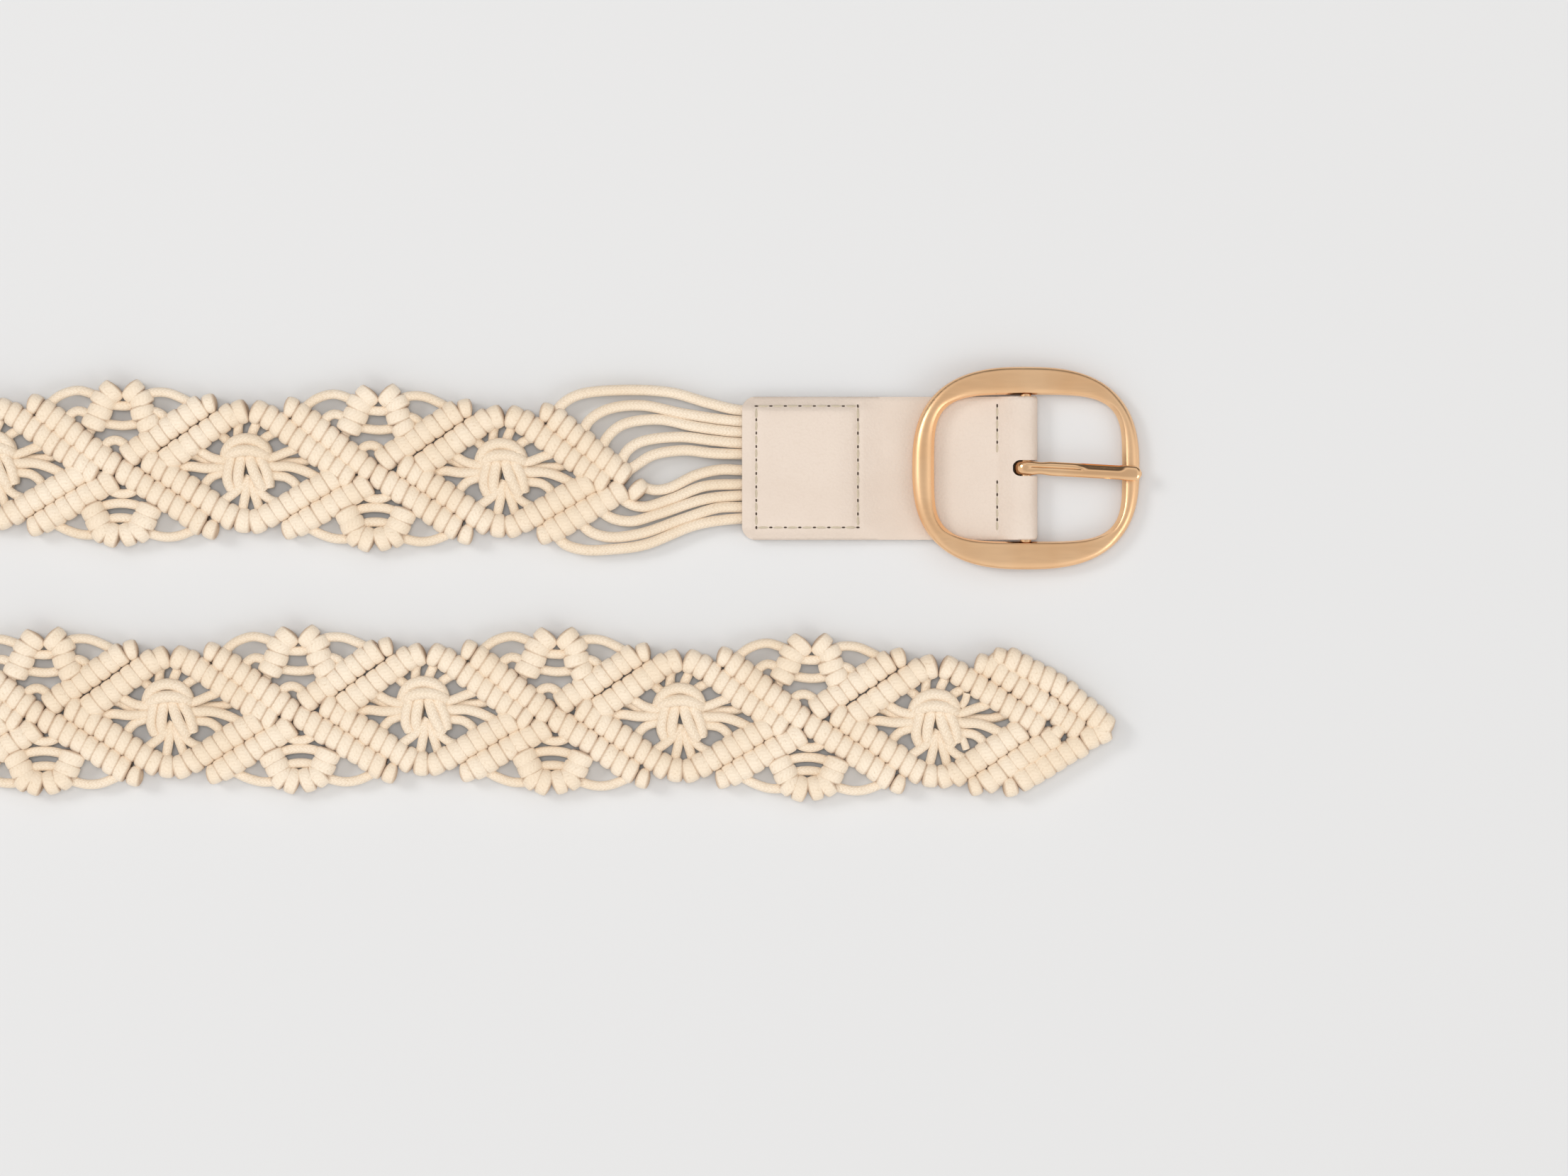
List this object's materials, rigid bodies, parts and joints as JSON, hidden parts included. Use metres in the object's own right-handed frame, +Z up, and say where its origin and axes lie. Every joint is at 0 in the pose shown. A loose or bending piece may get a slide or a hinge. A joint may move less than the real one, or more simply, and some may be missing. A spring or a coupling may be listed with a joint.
{
  "type": "knotted macrame cotton belt with leather tab and centre bar buckle",
  "caption": "Long openwork belt knotted from cotton cord, with bare cords, a stitched leather tab and an oval centre bar buckle with a prong.",
  "frame": {"origin": "on the surface that the belt lies on, under the middle of its box", "axes": "+X along the two runs towards the buckle and the tip, +Y from the tail's run towards the buckle's run, +Z up"},
  "size_m": [0.4858, 0.1202, 0.0476],
  "materials": {
    "cotton_cord": "matt natural cotton cord, fine braid",
    "leather": "smooth blush cream leather, fine grain, soft sheen",
    "brushed_gold": "satin brushed light rose gold plating",
    "polished_gold": "polished light rose gold plating"
  },
  "bodies": {
    "strap": {"band_buckle_half": "cotton_cord", "band_tail_half": "cotton_cord", "cord_01": "cotton_cord", "cord_02": "cotton_cord", "cord_03": "cotton_cord", "cord_04": "cotton_cord", "cord_05": "cotton_cord", "cord_06": "cotton_cord", "cord_07": "cotton_cord", "cord_08": "cotton_cord", "cord_09": "cotton_cord", "cord_10": "cotton_cord", "leather_tab": "leather"},
    "buckle": {"buckle_frame": "brushed_gold"},
    "prong": {"prong": "polished_gold"}
  },
  "joints": [
    {"name": "buckle_swing", "type": "hinge", "parent": "strap", "child": "buckle", "pos_m": [0.2111, 0.03227, 0.00325], "axis": [0, 1, 0], "range_deg": [0, 110]},
    {"name": "prong_swing", "type": "hinge", "parent": "buckle", "child": "prong", "pos_m": [0.2111, 0.03227, 0.00325], "axis": [0, -1, 0], "range_deg": [0, 95]}
  ]
}
